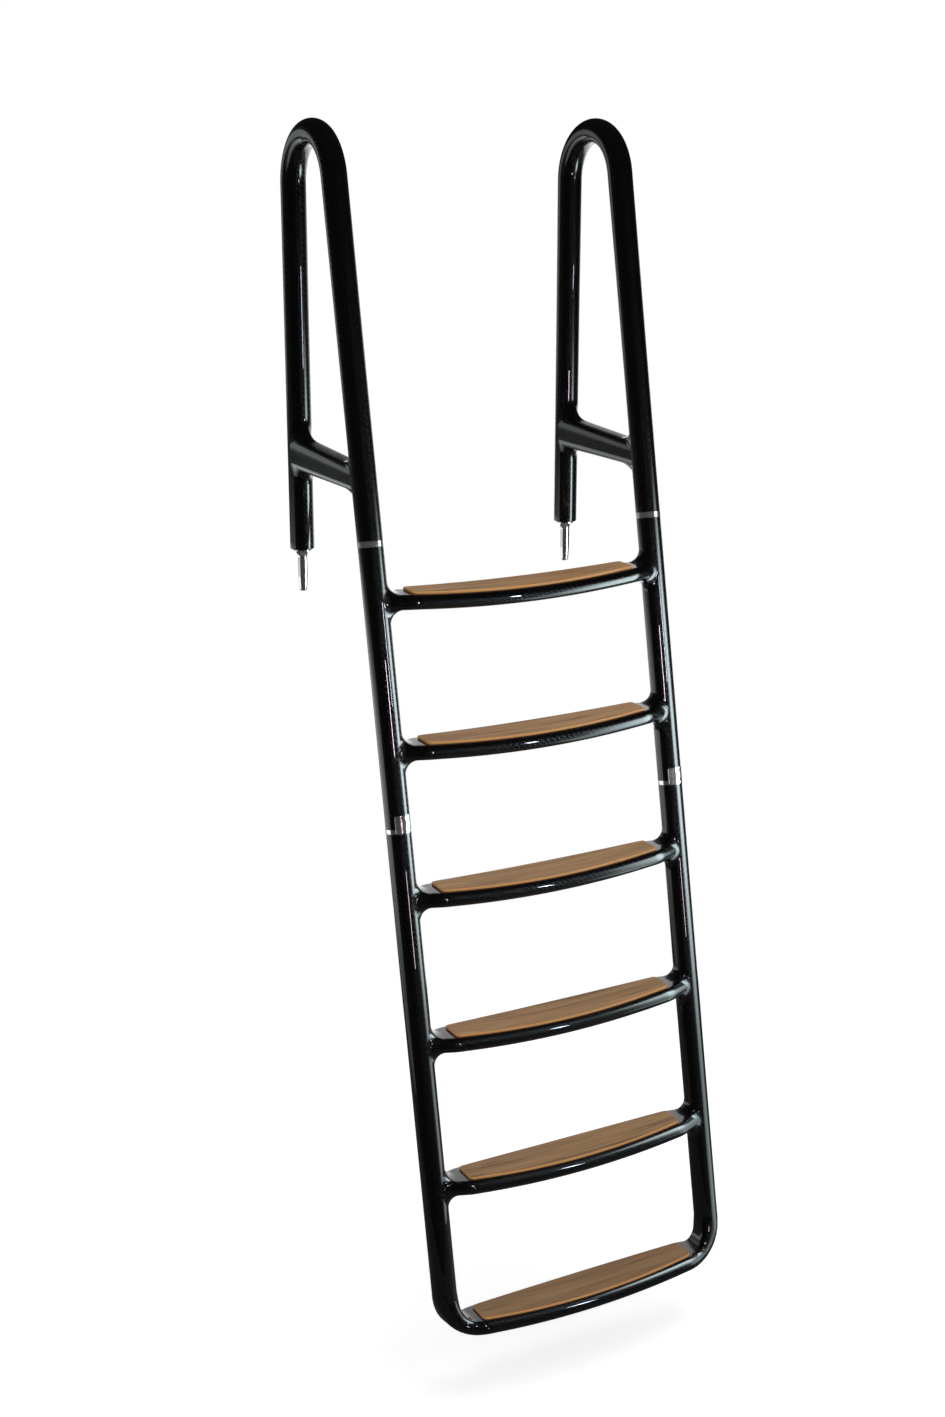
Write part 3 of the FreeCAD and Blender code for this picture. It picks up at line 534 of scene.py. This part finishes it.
def land_on_tube(points, way, normal, ball, axis_point, axis_way):
    """Rings of a fillet that a ball rolls between a bar and a tube.

    The ball touches the bar where its middle, moved along the bar, lies its radius and the
    tube's from the tube's axis. The arc turns from the bar's normal to the tube's. Three last
    rings go on along the tube and sink the skin into it, so that it ends inside. The ball may
    have one radius or one for each point round the bar."""
    way = np.broadcast_to(way, points.shape)
    ball = np.broadcast_to(ball, len(points))[:, None]
    middle = points + ball * normal - axis_point
    across = middle - (middle @ axis_way)[:, None] * axis_way
    step = way - (way @ axis_way)[:, None] * axis_way
    a = np.einsum("ij,ij->i", step, step)
    b = np.einsum("ij,ij->i", across, step)
    c = np.einsum("ij,ij->i", across, across) - (tube_radius + ball[:, 0]) ** 2
    travel = ((-b - np.sqrt(b * b - a * c)) / a)[:, None]
    touch = points + travel * way
    centre = middle + travel * way
    foot = (centre @ axis_way)[:, None] * axis_way
    outward = (centre - foot) / (tube_radius + ball)
    opening = np.arccos(np.clip(np.einsum("ij,ij->i", normal, outward), -1, 1))[None, :, None]
    share = np.linspace(0, 1, fillet_rings)[:, None, None]
    spread = np.sin((1 - share) * opening) * normal + np.sin(share * opening) * outward
    arc = centre + axis_point - ball * spread / np.sin(opening)
    onward = normal - np.einsum("ij,ij->i", normal, outward)[:, None] * outward
    onward /= np.linalg.norm(onward, axis=1)[:, None]
    sunk = []
    for reach, depth in sinking_steps:
        moved = foot + tube_radius * outward + reach * onward
        height = (moved @ axis_way)[:, None] * axis_way
        spoke = (moved - height) / np.linalg.norm(moved - height, axis=1)[:, None]
        sunk.append(axis_point + height + (tube_radius - depth) * spoke)
    run = np.linspace(0, 1, straight_rings + 2)[1:-1, None, None]
    return np.concatenate((points + run * (touch - points), arc, np.array(sunk)))


def tapered_end(last, out, level):
    """Rings of the end piece: straight lines from the rung's last ring to its smaller root.

    A line's way is its reach along X and its share of the narrowing. Its normal is the way out
    of the ring, tipped along X until it is square to the line."""
    narrowing = ((rung_end_front - rung_root) * (1 - rail_share)
                 - (rung_end_back - rung_root) * rail_share)
    way = np.stack((np.full(len(narrowing), end_reach), narrowing, 0 * narrowing), 1)
    way /= np.linalg.norm(way, axis=1)[:, None]
    tip = -np.einsum("ij,ij->i", out, way) / way[:, 0]
    normal = out + tip[:, None] * np.array([1.0, 0, 0])
    normal /= np.linalg.norm(normal, axis=1)[:, None]
    return land_on_tube(last, way, normal, rung_blend, stile_at(1, level), stile_up)


def mirrored(half):
    """Whole run of rings from its right half."""
    return np.concatenate((half[:0:-1] * np.array([-1, 1, 1]), half))


def rung_level(number):
    """Level of the middle of a rung at its ends."""
    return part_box("rung_%d" % number)[1].z - rung_height / 2


for number in range(1, 6):
    level = rung_level(number)
    half, out = rung_half(level)
    end = tapered_end(half[-1], out, level)
    section = "upper_section" if number < 3 else "lower_section"
    moulding("rung_%d_moulding" % number, [mirrored(np.concatenate((half, end)))],
             carbon, section, "carbon", "rung_%d" % number)

# Bottom bar.
# The last rung and the two bottom corners are one bend of the tube: it flattens from a round
# section to the rung's own. The outer line is a quarter ellipse, the inner one a tighter bend.

corner_rise = 0.073
corner_inner_rise = 0.0255
inner_bend_share = 0.7
corner_steps = 44
round_growth = 1.5
depth_growth = 2.5


def corner_rings(level):
    """Rings of the right bottom corner, from the end plane of the rung to the round tube.

    Outer and inner line are curves of the share of the bend. Upright at the rung, they lean with
    the stile as the square of what is left of the bend fades. The section stands square to the
    line between them. Its half sizes grow to the tube's radius by powers of the share."""
    share = np.linspace(0, 1, corner_steps)[1:]
    angle = share * math.pi / 2
    half = rung_height / 2
    inner_angle = np.minimum(1, share / inner_bend_share) * math.pi / 2
    straight = np.maximum(0, share - inner_bend_share) / (1 - inner_bend_share)
    outer = np.stack((end_reach - (end_reach + tube_radius) * np.sin(angle),
                      -half + corner_rise * (1 - np.cos(angle))), 1)
    inner = np.stack((end_reach - (end_reach - tube_radius) * np.sin(inner_angle),
                      half + corner_inner_rise * (1 - np.cos(inner_angle))
                      + (corner_rise - rung_height - corner_inner_rise) * straight), 1)
    fade = (1 - share) ** 2
    foot = stile_at(1, level)

    def placed(line):
        lift = line[:, 1] * (1 - (1 - stile_up[2]) * fade)
        back = -line[:, 1] * stile_up[1] * fade
        return (foot + line[:, :1] * np.array([-1.0, 0, 0]) + lift[:, None] * stile_up
                + back[:, None] * inboard)

    low, high = placed(outer), placed(inner)
    height = np.linalg.norm(high - low, axis=1)
    up = (high - low) / height[:, None]
    deep = inboard - (up @ inboard)[:, None] * up
    deep /= np.linalg.norm(deep, axis=1)[:, None]
    blend = share ** round_growth
    narrowing = 1 - (1 - share) ** depth_growth
    front = rung_end_front + (tube_radius - rung_end_front) * narrowing
    back = rung_end_back + (tube_radius - rung_end_back) * narrowing
    full = np.minimum(height / 2, np.minimum(front, back))
    front_round = rung_front_round + (full - rung_front_round) * blend
    back_round = rung_back_round + (full - rung_back_round) * blend
    centre = (low + high) / 2
    return section_rings(centre - front[:, None] * deep, centre + back[:, None] * deep, deep, up,
                         height, front_round, back_round)[0]


bottom_level = rung_level(6)
bottom_half = np.concatenate((rung_half(bottom_level)[0], corner_rings(bottom_level)))
moulding("bottom_bar", [mirrored(bottom_half)], carbon, "lower_section",
         "carbon", "rung_6", "bottom_corner_left", "bottom_corner_right")

# Handrails.
# One loop of the same tube on each side, bent over a hoop, with its foot on the deck pin. A
# bridge with flat sides, laid up with the tube, joins its legs and runs into both in fillets.

rail_top = handrail_high.z
rail_foot = handrail_low.z
foot_round = 0.002
stand_off = -stile_at(1, 0)[1]
apex = rail_top - tube_radius
hoop_radius = (stand_off * stile_up[2] - apex * stile_up[1]) / (1 + stile_up[2] - stile_up[1])
bridge_width = 0.0394
bridge_front_level = 0.1652
bridge_back_level = 0.1722
bridge_front_depth = 0.038
bridge_back_depth = 0.052
bridge_blend = 0.024
bridge_sweep = 0.03
bridge_crown = 0.01
bridge_power = 0.5
bridge_steps = 112
leg_steps = 60
hoop_steps = 80
foot_steps = 6


def loop_rings(side):
    """Rings of the tube along its line: up the leaning leg, round the hoop, down to the pin.

    The last rings shrink along a quarter circle, which rounds the foot."""
    start = stile_at(side, ring_level("rail_ferrule_right", 1))
    hoop = np.array([side * half_spacing, -hoop_radius, apex - hoop_radius])
    turn = np.linspace(math.pi - lean, 0, hoop_steps)
    bend = np.stack((0 * turn, np.cos(turn), np.sin(turn)), 1)
    up_share = np.linspace(0, 1, leg_steps, endpoint=False)[:, None]
    rise = start + up_share * (hoop + hoop_radius * bend[0] - start)
    down_share = np.linspace(0, 1, leg_steps + 2)[1:, None]
    foot = np.array([side * half_spacing, 0, rail_foot])
    last = hoop + hoop_radius * bend[-1]
    fall = last + down_share * (foot + np.array([0, 0, foot_round]) - last)
    centres = np.concatenate((rise, hoop + hoop_radius * bend, fall))
    outward = np.concatenate((np.tile(bend[0], (len(rise), 1)), bend,
                              np.tile(bend[-1], (len(fall), 1))))
    angle = np.linspace(0, math.pi / 2, foot_steps)[1:]
    rounding = foot[None] + np.array([0, 0, 1]) * foot_round * (1 - np.sin(angle))[:, None]
    radius = np.concatenate((np.full(len(centres), tube_radius),
                             tube_radius - foot_round * (1 - np.cos(angle))))
    centres = np.concatenate((centres, rounding))
    outward = np.concatenate((outward, np.tile(bend[-1], (len(angle), 1))))
    return ring_frames(centres, outward, np.array([-side, 0, 0]), radius)


def bridge_rings(side):
    """Rings of the bridge: straight lines between two flat-sided ovals, with fillets at the ends.

    An oval's point is a power of the cosine and of the sine, times the half width and depth.
    The normal is square to the line and to the neighbours' way round. The balls that roll the
    fillets grow with the square of the sine, over the bar at the pin, under it at the stile."""
    angle = np.linspace(0, 2 * np.pi, bridge_steps, endpoint=False)
    wide = np.sign(np.cos(angle)) * np.abs(np.cos(angle)) ** bridge_power
    tall = np.sign(np.sin(angle)) * np.abs(np.sin(angle)) ** bridge_power
    across = bridge_width / 2 * wide
    front_centre = stile_at(side, bridge_front_level)
    back_centre = np.array([side * half_spacing, 0, bridge_back_level])
    front = front_centre + np.stack((across, 0 * angle, bridge_front_depth / 2 * tall), 1)
    back = back_centre + np.stack((across, 0 * angle, bridge_back_depth / 2 * tall), 1)
    way = (back - front) / np.linalg.norm(back - front, axis=1)[:, None]
    middle = (front + back) / 2
    tangent = np.roll(middle, -1, 0) - np.roll(middle, 1, 0)
    normal = np.cross(way, tangent)
    normal /= np.linalg.norm(normal, axis=1)[:, None]
    normal *= np.sign(np.einsum("ij,ij->i", normal, middle - middle.mean(0)))[:, None]
    under = np.clip(-np.sin(angle), 0, 1) ** 2
    above = np.clip(np.sin(angle), 0, 1) ** 2
    to_pin = land_on_tube(middle, way, normal, bridge_blend + bridge_crown * above,
                          np.array([side * half_spacing, 0, 0]), np.array([0, 0, 1.0]))
    to_stile = land_on_tube(middle, -way, normal, bridge_blend + bridge_sweep * under,
                            front_centre, stile_up)
    return np.concatenate((to_stile[::-1], middle[None], to_pin))


for word, side in sides.items():
    moulding("handrail_%s_loop" % word, [loop_rings(side), bridge_rings(side)], carbon,
             "upper_section", "carbon", "handrail_" + word)

# Treads.
# Solid teak boards, sanded and oiled, bent to the line of the rungs and glued to them. Straight
# grain runs along them, and their long edges are softly rounded.

tread_thickness = 0.0042
tread_length = 0.395
tread_front = 0.0243
tread_front_bow = 0.0113
tread_back = 0.0168
tread_back_bow = 0.0117
tread_front_corner = 0.009
tread_back_corner = 0.005
tread_edge = 0.0014
tread_break = 0.0004
tread_break_height = 0.0003
tread_last_inset = 0.001
bow_columns = 30
corner_columns = 22
edge_steps = 7


def bow_with_corner(x, depth, bow, corner):
    """Right half of a bowed long edge that turns into a square end, and its outward ways.

    The bow is one arc through the middle and the end's corner, and the corner is an arc that
    touches both. Columns past the touching point lie on the corner's arc."""
    half = tread_length / 2
    radius = (half ** 2 + bow ** 2) / (2 * bow)
    bow_centre = depth + bow - radius
    corner_y = bow_centre + math.sqrt((radius - corner) ** 2 - (half - corner) ** 2)
    touch = (half - corner) * radius / (radius - corner)
    on_bow = x < touch
    sine = np.where(on_bow, x / radius, np.clip((x - half + corner) / corner, 0, 1))
    cosine = np.sqrt(1 - sine ** 2)
    y = np.where(on_bow, bow_centre + radius * cosine, corner_y + corner * cosine)
    return np.stack((x, y), 1), np.stack((sine, cosine), 1)


def tread_plan():
    """Outline of a tread and its outward ways: the back from left to right, then the front."""
    turn = np.linspace(0, math.pi / 2, corner_columns)
    corner_start = tread_length / 2 - tread_front_corner
    x = np.concatenate((np.linspace(0, corner_start, bow_columns, endpoint=False),
                        tread_length / 2 - tread_front_corner * (1 - np.sin(turn))))
    flip = np.array([-1, 1])
    runs = []
    for depth, bow, corner, side in ((tread_back, tread_back_bow, tread_back_corner, 1),
                                     (tread_front, tread_front_bow, tread_front_corner, -1)):
        half, ways = (part * np.array([1, side])
                      for part in bow_with_corner(x, depth, bow, corner))
        whole = np.concatenate((half[:0:-1] * flip, half))
        whole_ways = np.concatenate((ways[:0:-1] * flip, ways))
        runs.append((whole[::side], whole_ways[::side]))
    return [np.concatenate(part) for part in zip(*runs)]


def board_rings(bottom, top, centre):
    """Rings of a board that follows the line of the rungs, closed over its middle line.

    A ring is the plan moved inwards and lifted. The first and last rings shrink until front
    and back meet, point by point, and every point hangs with the rung under it."""
    points, ways = tread_plan()
    angle = np.linspace(0, math.pi / 2, edge_steps)
    inset = np.concatenate(([tread_break, 0.0, 0.0], tread_edge * (1 - np.cos(angle)),
                            [tread_edge + tread_last_inset]))
    height = np.concatenate(([bottom, bottom + tread_break_height, (bottom + top) / 2],
                             top - tread_edge + tread_edge * np.sin(angle), [top]))
    flat = points[None] - inset[:, None, None] * ways[None]
    meeting = (flat + flat[:, ::-1]) / 2
    flat = np.concatenate((meeting[:1], flat, (flat[-1:] + meeting[-1:]) / 2, meeting[-1:]))
    height = np.concatenate((height[:1], height, [top, top]))
    rise = height[:, None] + hang(flat[..., 0])
    return np.concatenate((flat, rise[..., None]), 2) + centre


dark_grain = (0.3, 0.155, 0.06, 1)
light_grain = (0.46, 0.26, 0.108, 1)
streak_brown = (0.16, 0.08, 0.032, 1)
# A darker brown that the lowest treads blend towards.
low_tread_brown = (0.14, 0.07, 0.026, 1)
# Painted highlight: the lighter orange painted on the board's rounded edges and sides.
edge_highlight_orange = (0.78, 0.38, 0.13, 1)
darkening_top_level = -0.75
darkening_bottom_level = -1.2


def teak_material():
    """Fine straight grain along X, with darker streaks and a painted highlight on the edges.

    The treads darken towards the bottom. The edges are painted lighter where the surface turns from
    level, a painted highlight."""
    made = bpy.data.materials.new("teak")
    made.use_nodes = True
    tree = made.node_tree
    shader = tree.nodes["Principled BSDF"]
    place = Wire(tree).node("ShaderNodeTexCoord", output="Object")

    def grain(along, across, detail, distortion=0.0):
        long = place.node("ShaderNodeMapping", None,
                          {"Vector": place, "Scale": (along, across, across)})
        return long.node("ShaderNodeTexNoise", None, {"Vector": long, "Scale": 1.0,
                                                      "Detail": detail, "Distortion": distortion})

    lines = grain(6, 420, 3)
    figure = grain(2.5, 60, 4, 0.6)
    streak = grain(4, 130, 2)
    wood = (figure * 0.55 + lines * 0.45).stretch(0.39, 0.61).mix(dark_grain, light_grain)
    wood = streak.stretch(0.56, 0.72, 0, 0.85).mix(wood, streak_brown)
    level = place.node("ShaderNodeSeparateXYZ", None, {0: place}, "Z")
    # Darker towards the bottom: below the upper level the wood blends towards the darker brown.
    wood = level.stretch(darkening_top_level, darkening_bottom_level, 0, 0.45).mix(wood, low_tread_brown)
    normal = place.out("Normal")
    flat = normal.node("ShaderNodeSeparateXYZ", None, {0: normal}, "Z")
    # Painted highlight: where the surface turns from level, at the rounded edges and sides, the
    # wood is painted a lighter orange.
    wood = flat.stretch(0.96, 0.7).mix(wood, edge_highlight_orange)
    wood.into(shader, "Base Color")
    (lines * 0.2 + 0.42).into(shader, "Roughness")
    relief = lines * 0.6 + streak * 0.4
    bump = relief.node("ShaderNodeBump", None,
                       {"Strength": 0.35, "Distance": 0.0004, "Height": relief})
    bump.into(shader, "Normal")
    shader.inputs["Specular IOR Level"].default_value = 0.15
    return made


teak = teak_material()
for number in range(1, 7):
    level = rung_level(number)
    bottom = rung_height / 2
    section = "upper_section" if number < 3 else "lower_section"
    rings = board_rings(bottom, bottom + tread_thickness,
                        np.array([0, stile_at(1, level)[1], level]))
    moulding("tread_%d_board" % number, [rings], teak, section, "teak", "tread_%d" % number)

# Steel fittings.
# Turned and polished stainless: the deck pins, the thin rings at the joints and the latch
# collars with their push buttons. Fine lines from the lathe run round them.

dull_steel = (0.7, 0.68, 0.64, 1)
bright_steel = (0.86, 0.85, 0.82, 1)


def steel_material():
    """Polished steel: lathe lines round the fittings, over patches of two tones."""
    made = bpy.data.materials.new("polished_steel")
    made.use_nodes = True
    tree = made.node_tree
    shader = tree.nodes["Principled BSDF"]
    place = Wire(tree).node("ShaderNodeTexCoord", output="Object")
    turned = place.node("ShaderNodeMapping", None, {"Vector": place, "Scale": (60, 60, 2600)})
    lines = turned.node("ShaderNodeTexNoise", None, {"Vector": turned, "Scale": 1.0, "Detail": 2.0})
    patch = place.node("ShaderNodeTexNoise", None, {"Vector": place, "Scale": 160.0, "Detail": 2.0})
    patch.mix(dull_steel, bright_steel).into(shader, "Base Color")
    (lines * 0.1 + patch * 0.1 + 0.02).into(shader, "Roughness")
    bump = lines.node("ShaderNodeBump", None,
                      {"Strength": 0.15, "Distance": 0.0001, "Height": lines})
    bump.into(shader, "Normal")
    shader.inputs["Metallic"].default_value = 0.9
    return made


steel = steel_material()
steel_fittings = ("deck_pin_", "rail_ferrule_", "frame_ferrule_", "latch_collar_",
                  "latch_button_", "foot_ring_")
for word in sides:
    for fitting in steel_fittings:
        frame["nodes"][fitting + word].material_slots[0].material = steel

# Plugs.
# Dark hard-anodised rods that join the two frames. They only show when the lower frame slides
# off, so they keep the dull grey of the bath and the rub marks of the fit.

dark_bath = (0.045, 0.045, 0.05, 1)
rubbed_bath = (0.085, 0.085, 0.09, 1)


def anodised_material():
    """Dark grey with paler rub marks along the rod."""
    made = bpy.data.materials.new("anodised")
    made.use_nodes = True
    tree = made.node_tree
    shader = tree.nodes["Principled BSDF"]
    place = Wire(tree).node("ShaderNodeTexCoord", output="Object")
    rub = place.node("ShaderNodeMapping", None, {"Vector": place, "Scale": (400, 400, 12)})
    marks = rub.node("ShaderNodeTexNoise", None, {"Vector": rub, "Scale": 1.0, "Detail": 3.0})
    marks.mix(dark_bath, rubbed_bath).into(shader, "Base Color")
    (marks * 0.25 + 0.25).into(shader, "Roughness")
    shader.inputs["Metallic"].default_value = 0.8
    return made


anodised = anodised_material()
for word in sides:
    frame["nodes"]["joint_spigot_" + word].material_slots[0].material = anodised
